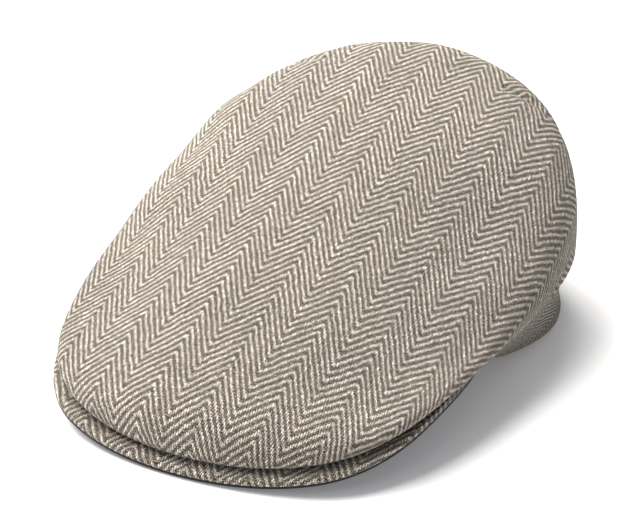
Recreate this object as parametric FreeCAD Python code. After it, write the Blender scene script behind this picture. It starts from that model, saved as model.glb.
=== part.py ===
import FreeCAD, Part
import math
import os

# A flat cap with a stiff peak, lying on a table. Its one-piece wool crown covers the peak and is
# held down to it by a press stud, so the front of the crown lifts off the peak.
# Millimetres. +Z is up, the peak points to -Y and the wearer's left is +X. The origin is the
# middle of the cap's bounding box, on the table. Angles go round the cap from the front, in
# degrees, positive towards the wearer's left.

# ---- Crown: an egg seen from above, a wedge seen from the side ----
HALF_WIDTH = 98.0          # centre line to side, where the plan is not yet swollen
HALF_LENGTH = 135.5        # middle to front or back
PLAN_SHIFT = 1.55          # moves the whole cap so that the origin is the box's middle
BACK_SWELL = 0.18          # the back is this much wider than the middle
SQUARE_ENDS = 0.37         # how much squarer than an ellipse the two ends are
SIDE_PULL = 26.7           # the widest part lies this far forward of the middle
TOP_PUSH = 13.4            # how far the shoulder leans back
TOP_PULL = 19.0            # and how far the top is drawn forward again
EDGE_MIDDLE = 22.0         # height of the crown's edge: its mean,
EDGE_SLOPE = 10.5          # its rise from the middle to the back,
EDGE_SAG = 1.9             # its sag towards both ends,
EDGE_ARCH = 10.0           # and its arch over the ears
DOME = 41.5                # rise of the dome over its edge in the middle
DOME_WEDGE = 0.83          # the dome's growth from the middle to the back
DOME_ENDS = 0.09           # the dome's growth towards both ends
DOME_LENS = 0.95           # how far the dome has sunk at the sides
DOME_LEAST = 0.13          # the share of it that stays at the edge, however far it sinks
SHOULDER = 4.6             # exponent of the dome's rounded shoulder
ROLL = 21.0                # radius of the edge that rolls under
LIP_FRONT = 100.0          # angle from the top at which the rolled edge stops, in front
LIP_BACK = 104.0           # and at the back

# ---- Head opening: an oval for a 57 cm head, measured over the cloth ----
OPENING_HALF_WIDTH = 90.0
OPENING_HALF_LENGTH = 100.0
OPENING_MIDDLE = 36.0      # its middle lies this far behind the crown's
HEM_FRONT = 10.0           # height of the hem over the table in front; it comes down to 0 behind
HEM_DOWN_FROM = 48.0       # the hem starts to come down at this angle
HEM_DOWN_TO = 112.0        # and reaches the table here

# ---- Side and back panels ----
PANEL_CROWN_ANGLE = 70.0   # the panels' front tips, as an angle of the crown
PANEL_OPENING_ANGLE = 52.0  # and as an angle of the head opening
PANEL_TUCK = 1.2           # the panels' top edge hides this far above the end of the crown's roll
PANEL_BULGE = 2.5
PANEL_CLEAR = 0.6          # air between their top edge and the crown around it
PANEL_OVER_PEAK = 1.2      # air between their front tips and the peak's ends
BACK_SEAM = 0.08           # half of the joint between the left and right panels, in degrees

# ---- Peak ----
PEAK_SHOWS = 4.4           # the rim stands out this far past the crown
PEAK_DROP = 9.6            # the rim's underside lies this far under the crown's edge
PEAK_THICKNESS = 3.8
PEAK_HUMP = 2.0            # rise of the peak's middle over a straight line
PEAK_FREE_ANGLE = 56.0     # from here the rim turns in, under the crown, to the temple
PEAK_END_ANGLE = 86.0
PEAK_TEMPLE_ANGLE = 60.0   # the temple, as an angle of the head opening

# ---- Cloth and other sheets ----
WOOL = 1.6
CANVAS = 0.6
LINING = 0.5
BOARD = 1.0
UNDER_CLOTH = 0.9
LEATHER = 1.2
CLEAR = 0.15               # air between two layers of one stack
CANVAS_CLEAR = 0.8         # and between the crown and its canvas
CANVAS_FALL = 76.0         # the canvas stops at this angle down from the top

# ---- Inside ----
SWEATBAND_INSET = 4.4      # from the outside of the hem to the sweatband's outside
SWEATBAND_FRONT = 22.0     # its height in front
SWEATBAND_BACK = 25.0      # and at the back
SWEATBAND_LEAN_FRONT = 9.0
SWEATBAND_LEAN_BACK = 9.5
SWEATBAND_FOOT = 1.2       # its lower edge lies this far above the hem
LINING_DEPTH = 7.0         # the crown lining hangs this far under the crown
LINING_DROP = 1.6          # its side pieces end this far under it
LINING_HALF_WIDTH = 0.78   # the crown lining's oval, as a share of the crown's plan
LINING_HALF_LENGTH = 0.57
LINING_MIDDLE = 0.23
PAD_THICKNESS = 2.4

# ---- Press stud and the flap that it holds ----
FLAP_LINE = -46.0          # the crown bends across this line when its front is lifted
FLAP_JOINT = 0.4           # the two parts of the crown stand this far apart there
FACING_FROM = 0.16         # the crown's turned-in edge, as a share of the way from rim to root
FACING_TO = 0.36
FACING_ANGLE = 52.0
FACING_LIFT = 3.2          # it lies this far over the peak, with the stud between them
STUD_SHARE = 0.27          # the stud's place between rim and root
STUD_RADIUS = 5.0
STUD_BASE = 0.8
BALL_RADIUS = 1.6
BALL_HEIGHT = 1.6
SOCKET_THICKNESS = 2.0
SOCKET_BORE = 2.7
SEW_HOLE = 0.6             # radius of the four holes that each half is sewn on by
SEW_CIRCLE = 3.85

UP = FreeCAD.Vector(0, 0, 1)


# ---------------------------------------------------------------- outlines and faces

def vector(x, y, z):
    return FreeCAD.Vector(x, y, z)


def smooth(value, start, end):
    """0 before start, 1 after end, and an even curve between them."""
    t = min(max((value - start) / (end - start), 0.0), 1.0)
    return t * t * (3 - 2 * t)


def crown_point(sx, sy, sz):
    """The crown's outer face, in the direction (sx, sy, sz) of a unit ball."""
    up = max(sz, 0.0)
    under = min(sz, 0.0)
    shoulder = 1 - (1 - min(up, 1.0)) ** SHOULDER
    lens = 1 + DOME_WEDGE * sy + DOME_ENDS * sy ** 2 - DOME_LENS * sx ** 2
    lens = (lens + math.hypot(lens, 2 * DOME_LEAST)) / 2
    x = HALF_WIDTH * sx * (1 + BACK_SWELL * sy + SQUARE_ENDS * sy ** 2)
    y = HALF_LENGTH * sy - SIDE_PULL * sx ** 2 + TOP_PUSH * up - TOP_PULL * up ** 2 + PLAN_SHIFT
    edge = EDGE_MIDDLE + EDGE_SLOPE * sy - EDGE_SAG * sy ** 2 + EDGE_ARCH * sx ** 2
    return vector(x, y, edge + DOME * shoulder * lens + ROLL * under)


def crown_at(angle, fall):
    """The crown at an angle round the cap and an angle down from the top."""
    turn = math.radians(angle)
    drop = math.radians(fall)
    return crown_point(math.sin(turn) * math.sin(drop), -math.cos(turn) * math.sin(drop), math.cos(drop))


def disc(a, b):
    """A point of the square -1..1 carried to the round disc."""
    return a * math.sqrt(1 - b * b / 2), b * math.sqrt(1 - a * a / 2)


def lip(angle):
    """The angle down from the top at which the crown's rolled edge stops."""
    back = (1 - math.cos(math.radians(angle))) / 2
    return LIP_FRONT + (LIP_BACK - LIP_FRONT) * back


def crown_face(a, b):
    """The whole crown over the square -1..1, down to its rolled edge."""
    dx, dy = disc(a, b)
    angle = math.degrees(math.atan2(dx, -dy))
    return crown_at(angle, math.hypot(dx, dy) * lip(angle))


def canvas_face(a, b):
    """The crown over the square, down to a little above its edge."""
    dx, dy = disc(a, b)
    return crown_at(math.degrees(math.atan2(dx, -dy)), math.hypot(dx, dy) * CANVAS_FALL)


def crown_above(sx, sy):
    """The crown over a point of its plan."""
    return crown_point(sx, sy, math.sqrt(1 - sx * sx - sy * sy))


def lining_face(a, b):
    """The part of the crown that the crown lining hangs under."""
    dx, dy = disc(a, b)
    return crown_above(LINING_HALF_WIDTH * dx, LINING_MIDDLE + LINING_HALF_LENGTH * dy)


def hem_height(angle):
    return HEM_FRONT * (1 - smooth(abs(180 - abs(180 - angle % 360)), HEM_DOWN_FROM, HEM_DOWN_TO))


def opening(angle, inset=0.0, height=0.0):
    """The head opening's outline, moved inward and up from the outside of the hem."""
    turn = math.radians(angle)
    x = (OPENING_HALF_WIDTH - inset) * math.sin(turn)
    y = OPENING_MIDDLE + PLAN_SHIFT - (OPENING_HALF_LENGTH - inset) * math.cos(turn)
    return vector(x, y, hem_height(angle) + height)


def panel_face(angle, share):
    """The side and back band, from the hem (share 0) up into the crown's edge (share 1)."""
    gain = (180 - PANEL_OPENING_ANGLE) / (180 - PANEL_CROWN_ANGLE)
    round_head = 180 + (angle - 180) * gain
    from_front = 180 - abs(180 - round_head)
    over_peak = PEAK_THICKNESS + PANEL_OVER_PEAK
    over_peak *= 1 - smooth(from_front, PEAK_TEMPLE_ANGLE + 1, PEAK_TEMPLE_ANGLE + 13)
    foot = opening(round_head, 0, over_peak)
    inside = crown_at(angle, lip(angle))
    outward = vector(inside.x, inside.y, 0).normalize()
    head = inside - outward * (WOOL + PANEL_CLEAR) + UP * PANEL_TUCK
    tall = (head - foot).Length
    bulge = PANEL_BULGE * min(tall / 40, 1) * 4 * share * (1 - share)
    return foot + (head - foot) * share + outward * bulge


def rim(angle):
    """The peak's outer edge, on its top face."""
    edge = crown_at(angle, 90)
    turn = math.radians(angle)
    outward = vector(math.sin(turn) * 1.1, -math.cos(turn), 0).normalize()
    shows = PEAK_SHOWS * (1 - smooth(abs(angle), 30, 68))
    free = edge + outward * shows + UP * (PEAK_THICKNESS - PEAK_DROP)
    side = math.copysign(1, angle)
    temple = opening(side * PEAK_TEMPLE_ANGLE, -5.0, PEAK_THICKNESS)
    return free + (temple - free) * smooth(abs(angle), PEAK_FREE_ANGLE, PEAK_END_ANGLE)


def peak_face(angle, share):
    """The peak's top face, from its root at the head opening (share 1) out to its rim (share 0)."""
    outer = rim(angle)
    root = opening(angle * PEAK_TEMPLE_ANGLE / PEAK_END_ANGLE, 0, PEAK_THICKNESS)
    long = (root - outer).Length
    hump = PEAK_HUMP * min(long / 60, 1) * 4 * share * (1 - share)
    return outer + (root - outer) * share + UP * hump


def sweatband_face(angle, share):
    """The sweatband's outer face, from its foot (share 0) to its top (share 1)."""
    back = (1 - math.cos(math.radians(angle))) / 2
    tall = SWEATBAND_FRONT + (SWEATBAND_BACK - SWEATBAND_FRONT) * back
    lean = SWEATBAND_LEAN_FRONT + (SWEATBAND_LEAN_BACK - SWEATBAND_LEAN_FRONT) * back
    return opening(angle, SWEATBAND_INSET + lean * share * share, SWEATBAND_FOOT + tall * share)


def lining_wall(angle, share):
    """The lining between the sweatband's top and the rim of the crown lining."""
    turn = math.radians(angle)
    hung = inset(crown_above, LINING_DEPTH + LINING_DROP)
    ring = hung(LINING_HALF_WIDTH * math.sin(turn), LINING_MIDDLE - LINING_HALF_LENGTH * math.cos(turn))
    foot = sweatband_face(angle, 1.0) + UP * 0.6
    return foot + (ring - foot) * share


# ---------------------------------------------------------------- solids

def inset(face, depth, u_limit=None):
    """A face moved inward, against its outward normal, by a depth."""
    def moved(u, v):
        step = 1e-3
        nu = u if u_limit is None else min(max(u, -u_limit), u_limit)
        nv = v if u_limit is None else min(max(v, -u_limit), u_limit)
        along = face(nu + step, nv) - face(nu - step, nv)
        across = face(nu, nv + step) - face(nu, nv - step)
        normal = along.cross(across)
        normal.normalize()
        return face(u, v) - normal * depth
    return moved


def spread(span, count):
    start, end = span
    return [start + (end - start) * i / (count - 1) for i in range(count)]


def sheet(face, depths, u_span, v_span, counts=(25, 13), u_limit=None, carry=None):
    """A closed sheet between two depths under one face; carry moves the grid's places along it."""
    sides = []
    for depth in depths:
        moved = inset(face, depth, u_limit)
        places = [[(u, v) for v in spread(v_span, counts[1])] for u in spread(u_span, counts[0])]
        if carry:
            places = [[carry(u, v) for u, v in row] for row in places]
        surface = Part.BSplineSurface()
        surface.interpolate([[moved(u, v) for u, v in row] for row in places])
        sides.append(surface.toShape())
    outer, inner = sides
    edges = [Part.makeRuledSurface(a, b, 1) for a, b in zip(outer.Edges, inner.Edges)]
    shell = Part.makeShell([outer, inner] + edges)
    shell.sewShape()
    solid = Part.makeSolid(Part.Shell(shell.Faces))
    if solid.Volume < 0:
        solid.reverse()
    return solid


def bend_place(face, a, line):
    """Where, over the square, a crown face crosses the line y = line."""
    low, high = -1.0, 1.0
    for _ in range(40):
        middle = (low + high) / 2
        if face(a, middle).y < line:
            low = middle
        else:
            high = middle
    return middle


def in_front(face):
    """Carries the square to what lies in front of the bend line."""
    def carry(a, b):
        end = bend_place(face, a, FLAP_LINE - FLAP_JOINT / 2)
        return a, -1 + (b + 1) / 2 * (end + 1)
    return carry


def behind(face):
    def carry(a, b):
        start = bend_place(face, a, FLAP_LINE + FLAP_JOINT / 2)
        return a, start + (b + 1) / 2 * (1 - start)
    return carry


def crown(carry):
    return sheet(crown_face, (0, WOOL), (-1, 1), (-1, 1), (31, 23), 0.985, carry(crown_face))


def crown_canvas(carry):
    near = WOOL + CANVAS_CLEAR
    depths = (near, near + CANVAS)
    return sheet(canvas_face, depths, (-1, 1), (-1, 1), (31, 23), 0.985, carry(canvas_face))


def side_panel(u_span):
    return sheet(panel_face, (0, WOOL), u_span, (0, 1), (33, 11))


def side_canvas(u_span):
    near = WOOL + 2 * CLEAR
    return sheet(panel_face, (near, near + CANVAS), u_span, (0.12, 0.86), (33, 11))


def back_seam_tape():
    near = WOOL + CANVAS + 3 * CLEAR
    return sheet(panel_face, (near, near + LINING), (175.5, 184.5), (0.1, 0.8), (5, 7))


def peak_layer(near, far, share, reach):
    return sheet(peak_face, (near, far), (-reach, reach), (share, 1 - share / 3), (41, 9))


def peak_top_cover():
    return peak_layer(0, 1.6, 0.001, PEAK_END_ANGLE)


def peak_board():
    return peak_layer(1.75, 1.75 + BOARD, 0.03, PEAK_END_ANGLE - 1)


def peak_under_cover():
    return peak_layer(PEAK_THICKNESS - UNDER_CLOTH, PEAK_THICKNESS, 0.012, PEAK_END_ANGLE)


def front_facing():
    """The crown's front edge, turned in and lying over the peak."""
    span = (-FACING_ANGLE, FACING_ANGLE)
    depths = (-FACING_LIFT - 1.3, -FACING_LIFT)
    return sheet(peak_face, depths, span, (FACING_FROM, FACING_TO), (25, 5))


def sweatband():
    return sheet(sweatband_face, (0, LEATHER), (-179.7, 179.7), (0, 1), (61, 7))


def size_label():
    near = LEATHER + CLEAR
    return sheet(sweatband_face, (near, near + LINING), (174.5, 185.5), (0.2, 0.75), (5, 4))


def forehead_pad():
    near = -CLEAR - PAD_THICKNESS
    return sheet(sweatband_face, (near, -CLEAR), (-40, 40), (0.2, 0.85), (21, 5))


def lining_top():
    depths = (LINING_DEPTH, LINING_DEPTH + LINING)
    return sheet(lining_face, depths, (-1, 1), (-1, 1), (25, 25), 0.985)


def lining_side(u_span):
    return sheet(lining_wall, (0, LINING), u_span, (0, 0.97), (37, 7))


def lining_label():
    near = LINING_DEPTH + LINING + CLEAR
    return sheet(lining_face, (near, near + LINING), (-0.26, 0.26), (0.05, 0.42), (7, 7))


# ---------------------------------------------------------------- press stud

def sewing_holes(disc_solid, height):
    for quarter in range(4):
        turn = math.radians(45 + 90 * quarter)
        place = vector(SEW_CIRCLE * math.cos(turn), SEW_CIRCLE * math.sin(turn), -1)
        disc_solid = disc_solid.cut(Part.makeCylinder(SEW_HOLE, height + 2, place))
    return disc_solid


def on_peak(solid, lift):
    """Sets a solid that was made at the origin on the peak's top face, over its slope."""
    here = peak_face(0, STUD_SHARE)
    slope = peak_face(0, STUD_SHARE + 0.02) - peak_face(0, STUD_SHARE - 0.02)
    tilt = math.degrees(math.atan2(slope.z, slope.y))
    solid.rotate(vector(0, 0, 0), vector(1, 0, 0), tilt)
    solid.translate(here)
    away = FreeCAD.Rotation(vector(1, 0, 0), tilt).multVec(UP)
    solid.translate(away * lift)
    return solid


def snap_stud():
    base = sewing_holes(Part.makeCylinder(STUD_RADIUS, STUD_BASE), STUD_BASE)
    boss = Part.makeCylinder(BALL_RADIUS, BALL_HEIGHT, vector(0, 0, STUD_BASE - 0.01))
    crest = max(boss.Edges, key=lambda edge: edge.BoundBox.ZMin)
    boss = boss.makeFillet(BALL_RADIUS * 0.55, [crest])
    return on_peak(base.fuse(boss), CLEAR)


def snap_socket():
    ring = sewing_holes(Part.makeCylinder(STUD_RADIUS, SOCKET_THICKNESS), SOCKET_THICKNESS)
    bore = Part.makeCylinder(SOCKET_BORE, SOCKET_THICKNESS + 2, vector(0, 0, -1))
    return on_peak(ring.cut(bore), FACING_LIFT - SOCKET_THICKNESS - CLEAR / 2)


# ---------------------------------------------------------------- the parts

LEFT = (PANEL_CROWN_ANGLE, 180 - BACK_SEAM)
RIGHT = (180 + BACK_SEAM, 360 - PANEL_CROWN_ANGLE)
LINING_LEFT = (0.2, 179.8)
LINING_RIGHT = (180.2, 359.8)

PARTS = {
    "crown_front": crown(in_front),
    "crown_back": crown(behind),
    "crown_canvas_front": crown_canvas(in_front),
    "crown_canvas_back": crown_canvas(behind),
    "front_facing": front_facing(),
    "snap_socket": snap_socket(),
    "snap_stud": snap_stud(),
    "side_panel_left": side_panel(LEFT),
    "side_panel_right": side_panel(RIGHT),
    "side_canvas_left": side_canvas((PANEL_CROWN_ANGLE + 3, 180 - 4 * BACK_SEAM)),
    "side_canvas_right": side_canvas((180 + 4 * BACK_SEAM, 357 - PANEL_CROWN_ANGLE)),
    "back_seam_tape": back_seam_tape(),
    "peak_top_cover": peak_top_cover(),
    "peak_board": peak_board(),
    "peak_under_cover": peak_under_cover(),
    "sweatband": sweatband(),
    "forehead_pad": forehead_pad(),
    "size_label": size_label(),
    "lining_top": lining_top(),
    "lining_side_left": lining_side(LINING_LEFT),
    "lining_side_right": lining_side(LINING_RIGHT),
    "lining_label": lining_label(),
}

os.makedirs("parts", exist_ok=True)
for node, shape in PARTS.items():
    shape.exportStep(f"parts/{node}.step")
    box = shape.BoundBox
    print(f"{node:20s} valid {shape.isValid()} solids {len(shape.Solids)} volume {shape.Volume:9.1f}"
          f" x {box.XMin:7.1f} {box.XMax:7.1f} y {box.YMin:7.1f} {box.YMax:7.1f}"
          f" z {box.ZMin:6.1f} {box.ZMax:6.1f}")
bend_height = crown_face(0, bend_place(crown_face, 0, FLAP_LINE)).z
print(f"the crown bends at y {FLAP_LINE}, z {bend_height:.2f}")
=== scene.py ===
import math

import bmesh
import bpy
import numpy as np
from mathutils import Matrix, Vector


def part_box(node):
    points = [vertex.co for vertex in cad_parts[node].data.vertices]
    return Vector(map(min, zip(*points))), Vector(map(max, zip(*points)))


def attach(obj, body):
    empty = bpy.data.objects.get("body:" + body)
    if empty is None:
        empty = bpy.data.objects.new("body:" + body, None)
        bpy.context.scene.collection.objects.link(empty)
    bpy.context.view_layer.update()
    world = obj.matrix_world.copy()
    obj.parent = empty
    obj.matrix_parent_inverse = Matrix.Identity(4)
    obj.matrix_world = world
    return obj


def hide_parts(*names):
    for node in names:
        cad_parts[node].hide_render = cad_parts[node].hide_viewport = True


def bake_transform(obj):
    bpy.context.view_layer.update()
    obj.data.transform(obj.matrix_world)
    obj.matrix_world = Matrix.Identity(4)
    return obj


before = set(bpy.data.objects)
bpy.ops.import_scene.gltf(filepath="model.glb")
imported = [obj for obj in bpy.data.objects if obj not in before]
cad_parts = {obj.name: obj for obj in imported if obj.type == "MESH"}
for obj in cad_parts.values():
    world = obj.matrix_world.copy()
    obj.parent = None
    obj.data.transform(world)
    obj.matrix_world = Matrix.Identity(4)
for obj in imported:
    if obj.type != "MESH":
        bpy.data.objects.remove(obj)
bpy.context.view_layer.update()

bl_info = {
    "name": "Flat Cap",
    "version": (1, 0, 0),
    "blender": (4, 5, 0),
    "location": "View3D > Sidebar > Flat Cap",
    "description": "Makes a herringbone flat cap, its inside and a small studio round its frame",
    "category": "Object",
}

# A one-piece flat cap of herringbone wool with a stiff peak under its crown.
# Lengths are in millimetres and angles in degrees until a mesh is made, which is in metres.
# The peak points to -Y, the wearer's left is +X and the table is z = 0.

MM = 0.001

# ---- The crown's outer face, as the pattern cutter's formula gives it ----
HALF_WIDTH, HALF_LENGTH, PLAN_SHIFT = 98.0, 135.5, 1.55
BACK_SWELL, SQUARE_ENDS, SIDE_PULL = 0.18, 0.37, 26.7
TOP_PUSH, TOP_PULL = 13.4, 19.0
EDGE_MIDDLE, EDGE_SLOPE, EDGE_SAG, EDGE_ARCH = 22.0, 10.5, 1.9, 10.0
DOME, DOME_WEDGE, DOME_ENDS, DOME_LENS, DOME_LEAST = 41.5, 0.83, 0.09, 0.95, 0.13
SHOULDER, ROLL = 4.6, 21.0
LIP_FRONT, LIP_BACK = 100.0, 104.0

# ---- The head opening, the side panels and the peak ----
OPENING_HALF_WIDTH, OPENING_HALF_LENGTH, OPENING_MIDDLE = 90.0, 100.0, 36.0
HEM_FRONT, HEM_DOWN_FROM, HEM_DOWN_TO = 10.0, 48.0, 112.0
PANEL_CROWN_ANGLE, PANEL_OPENING_ANGLE = 70.0, 52.0
PANEL_TUCK, PANEL_HOLLOW, PANEL_INSIDE, PANEL_OVER_PEAK = 1.2, 1.2, 2.2, 5.0
PANEL_FLARE, BAND_FLARE, FLARE_FROM, FLARE_TO = 5.5, 3.5, 66.0, 106.0
HEM_LIFT = 0.25        # for each mm of flare, so that the turned-in edge stays over the table
PEAK_SHOWS, PEAK_DROP, PEAK_THICKNESS, PEAK_HUMP = 4.4, 9.6, 3.8, 2.0
PEAK_FREE_ANGLE, PEAK_END_ANGLE, PEAK_TEMPLE_ANGLE = 56.0, 86.0, 60.0
FACING_FROM, FACING_TO, FACING_ANGLE, FACING_LIFT = 0.088, 0.36, 52.0, 3.2

# ---- Inside ----
SWEATBAND_INSET, SWEATBAND_FOOT = 4.4, 1.2
SWEATBAND_FRONT, SWEATBAND_BACK = 22.0, 25.0
SWEATBAND_LEAN_FRONT, SWEATBAND_LEAN_BACK = 9.0, 9.5
LINING_DEPTH, LINING_DROP = 7.0, 1.6
LINING_HALF_WIDTH, LINING_HALF_LENGTH, LINING_MIDDLE = 0.78, 0.57, 0.23

# ---- Places of the small pieces inside, as angles round the head and shares of a height ----
PAD_HALF_ANGLE, PAD_STANDS_OFF = 40.0, 2.55
TAB_FROM, TAB_ANGLE, TAB_STANDS_OFF = 174.6, 10.8, 0.45
TAPE_FROM, TAPE_ANGLE, TAPE_DEPTH = 175.5, 9.0, 2.65
LABEL_THICKNESS, LABEL_STANDS_OFF = 0.4, 0.2
BAND_ROWS = (("sweatband_stitches_top", 0.86), ("sweatband_stitches_foot", 0.12))

# ---- Thicknesses ----
CROWN_WOOL, PANEL_WOOL, PEAK_WOOL = 1.6, 1.2, 1.0
CANVAS, LINING, LEATHER, UNDER_CLOTH, PAD = 0.6, 0.5, 1.2, 0.9, 2.3
CANVAS_DEPTH, SIDE_CANVAS_DEPTH = 2.4, 1.9
CANVAS_FALL = 76                 # the crown's canvas ends at this fall from straight up
WEAR_FROM, WEAR_TO = 86, 96      # the fall at which the crown's wear starts to fade, and is gone

# ---- The weave ----
COLUMN_START = 3.7     # one column of the herringbone starts this far left of the middle
PANEL_COLUMN = 8.0     # and one starts this far over the hem
WEFT_SKEW = 0.27       # the weft runs back by this much for each length to the wearer's left

# ---- The studio: lights by power against the key, size in m, azimuth, height and distance in m ----
LIGHTS = (("key", 1.0, 1.8, -112, 50, 1.5), ("fill", 0.04, 1.2, -20, 30, 1.9))
LOOK_AT = (0.0, PLAN_SHIFT, 49.6)
CAMERA_AZIMUTH, CAMERA_HEIGHT, CAMERA_ROLL, CAMERA_DISTANCE = 24.8, 25.4, 1.0, 1.034
CAMERA_SHIFT = (-0.0062, -0.0297)

# Soft hollows and swellings of the worn crown: x, y, length, width, turn, height.
SWELLINGS = (
    (74, 22, 46, 17, 80, -1.5),
    (84, -14, 40, 12, 70, 0.9),
    (56, 52, 40, 20, 40, 0.8),
    (-83, 6, 26, 20, 10, 1.0),
    (-88, 42, 20, 16, 0, -0.9),
    (-85, 72, 24, 18, 0, 1.2),
    (-30, 40, 60, 26, 15, 0.6),
    (10, -60, 50, 22, 100, -0.5),
    (-46, -78, 40, 18, 60, 0.6),
    (50, -88, 36, 14, 130, -0.6),
    (20, 96, 34, 20, 20, -0.8),
)
# The two darts that shape the crown's back: outer end, inner end, half width, depth.
DARTS = (
    ((76, 101), (43, 104), 2.2, 1.6),
    ((-76, 101), (-43, 104), 2.2, 1.6),
)


# ---------------------------------------------------------------- the cap's faces

def vec(x, y, z):
    return np.stack(np.broadcast_arrays(x, y, z), -1).astype(float)


def smooth(value, start, end):
    t = np.clip((value - start) / (end - start), 0, 1)
    return t * t * (3 - 2 * t)


def length_of(v):
    return np.linalg.norm(v, axis=-1, keepdims=True)


def each(value):
    """One number for all points, or one for each point ready to multiply it."""
    return value[..., None] if isinstance(value, np.ndarray) else value


def from_front(angle):
    """The angle from the cap's front, 0 to 180 on either side."""
    return 180 - np.abs(180 - np.mod(angle, 360))


def crown_point(s):
    """The crown's outer face in the directions s from the middle of a unit ball."""
    sx, sy, sz = s[..., 0], s[..., 1], s[..., 2]
    up, under = np.maximum(sz, 0), np.minimum(sz, 0)
    shoulder = 1 - (1 - np.minimum(up, 1)) ** SHOULDER
    lens = 1 + DOME_WEDGE * sy + DOME_ENDS * sy ** 2 - DOME_LENS * sx ** 2
    lens = (lens + np.hypot(lens, 2 * DOME_LEAST)) / 2
    x = HALF_WIDTH * sx * (1 + BACK_SWELL * sy + SQUARE_ENDS * sy ** 2)
    y = HALF_LENGTH * sy - SIDE_PULL * sx ** 2 + TOP_PUSH * up - TOP_PULL * up ** 2 + PLAN_SHIFT
    edge = EDGE_MIDDLE + EDGE_SLOPE * sy - EDGE_SAG * sy ** 2 + EDGE_ARCH * sx ** 2
    return vec(x, y, edge + DOME * shoulder * lens + ROLL * under)


def direction(angle, fall):
    turn, drop = np.radians(angle), np.radians(fall)
    return vec(np.sin(turn) * np.sin(drop), -np.cos(turn) * np.sin(drop), np.cos(drop))


def crown_at(angle, fall):
    return crown_point(direction(angle, fall))


def lip(angle):
    return LIP_FRONT + (LIP_BACK - LIP_FRONT) * (1 - np.cos(np.radians(angle))) / 2


def polar(a, b):
    """Places of the unit square carried to the round disc: the angle and the way out, 0 to 1."""
    a, b = 2 * a - 1, 2 * b - 1
    dx, dy = a * np.sqrt(1 - b * b / 2), b * np.sqrt(1 - a * a / 2)
    return np.degrees(np.arctan2(dx, -dy)), np.hypot(dx, dy)


def crown_above(sx, sy):
    return crown_point(vec(sx, sy, np.sqrt(np.maximum(1 - sx * sx - sy * sy, 0))))


def crown_under(s, depth, step=1e-3):
    """The crown's face in the directions s, moved inward by a depth."""
    x, y, z = s[..., 0], s[..., 1], s[..., 2]
    one = vec(1 - x * x / (1 + z), -x * y / (1 + z), -x) * step
    two = vec(-x * y / (1 + z), 1 - y * y / (1 + z), -y) * step
    normal = np.cross(crown_point(s + one) - crown_point(s - one), crown_point(s + two) - crown_point(s - two))
    return crown_point(s) - normal / length_of(normal) * depth[..., None]


def opening(angle, inset=0.0, height=0.0):
    turn = np.radians(angle)
    hem = HEM_FRONT * (1 - smooth(from_front(angle), HEM_DOWN_FROM, HEM_DOWN_TO))
    x = (OPENING_HALF_WIDTH - inset) * np.sin(turn)
    y = OPENING_MIDDLE + PLAN_SHIFT - (OPENING_HALF_LENGTH - inset) * np.cos(turn)
    return vec(x, y, hem + height)


def flat_out(points):
    """Level unit vectors that point away from the cap's middle."""
    level = points * (1, 1, 0)
    return level / length_of(level)


def panel_face(angle, share):
    """The side and back band, from the hem (share 0) up into the crown's edge (share 1)."""
    share = each(share)
    gain = (180 - PANEL_OPENING_ANGLE) / (180 - PANEL_CROWN_ANGLE)
    round_head = 180 + (angle - 180) * gain
    aside = from_front(round_head)
    over = PANEL_OVER_PEAK * (1 - smooth(aside, PEAK_TEMPLE_ANGLE + 1, PEAK_TEMPLE_ANGLE + 13))
    flare = PANEL_FLARE * smooth(aside, FLARE_FROM, FLARE_TO)
    foot = opening(round_head, -flare, over + HEM_LIFT * flare)
    inside = crown_at(angle, lip(angle))
    out = flat_out(inside)
    head = inside - out * PANEL_INSIDE + (0, 0, PANEL_TUCK)
    tall = length_of(head - foot)
    hollow = PANEL_HOLLOW * np.minimum(tall / 40, 1) * 4 * share * (1 - share)
    return foot + (head - foot) * share - out * hollow


def rim(angle):
    """The peak's outer edge, on its top face."""
    edge = crown_at(angle, 90)
    turn = np.radians(angle)
    out = vec(np.sin(turn) * 1.1, -np.cos(turn), 0 * turn)
    out /= length_of(out)
    shows = (PEAK_SHOWS * (1 - smooth(np.abs(angle), 30, 68)))[..., None]
    free = edge + out * shows + (0, 0, PEAK_THICKNESS - PEAK_DROP)
    temple = opening(np.sign(angle) * PEAK_TEMPLE_ANGLE, -5.0, PEAK_THICKNESS)
    return free + (temple - free) * smooth(np.abs(angle), PEAK_FREE_ANGLE, PEAK_END_ANGLE)[..., None]


def peak_face(angle, share):
    """The peak's top face, from its root at the head opening (share 1) out to its rim (share 0)."""
    share = each(share)
    outer = rim(angle)
    root = opening(angle * PEAK_TEMPLE_ANGLE / PEAK_END_ANGLE, 0, PEAK_THICKNESS)
    hump = PEAK_HUMP * np.minimum(length_of(root - outer) / 60, 1) * 4 * share * (1 - share)
    return outer + (root - outer) * share + hump * (0, 0, 1)


def sweatband_face(angle, share):
    """The sweatband's outer face, from its foot (share 0) to its top (share 1)."""
    back = (1 - np.cos(np.radians(angle))) / 2
    tall = SWEATBAND_FRONT + (SWEATBAND_BACK - SWEATBAND_FRONT) * back
    lean = SWEATBAND_LEAN_FRONT + (SWEATBAND_LEAN_BACK - SWEATBAND_LEAN_FRONT) * back
    flare = BAND_FLARE * smooth(from_front(angle), FLARE_FROM, FLARE_TO) * (1 - share) ** 2
    return opening(angle, SWEATBAND_INSET + lean * share * share - flare, SWEATBAND_FOOT + tall * share)


def inset(face, depth, step=1e-3):
    """A face moved inward, against its outward normal, by a depth that may vary."""
    def moved(u, v):
        along = face(u + step, v) - face(u - step, v)
        across = face(u, v + step) - face(u, v - step)
        normal = np.cross(along, across)
        normal /= np.maximum(length_of(normal), 1e-9)
        return face(u, v) - normal * each(depth)
    return moved


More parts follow.
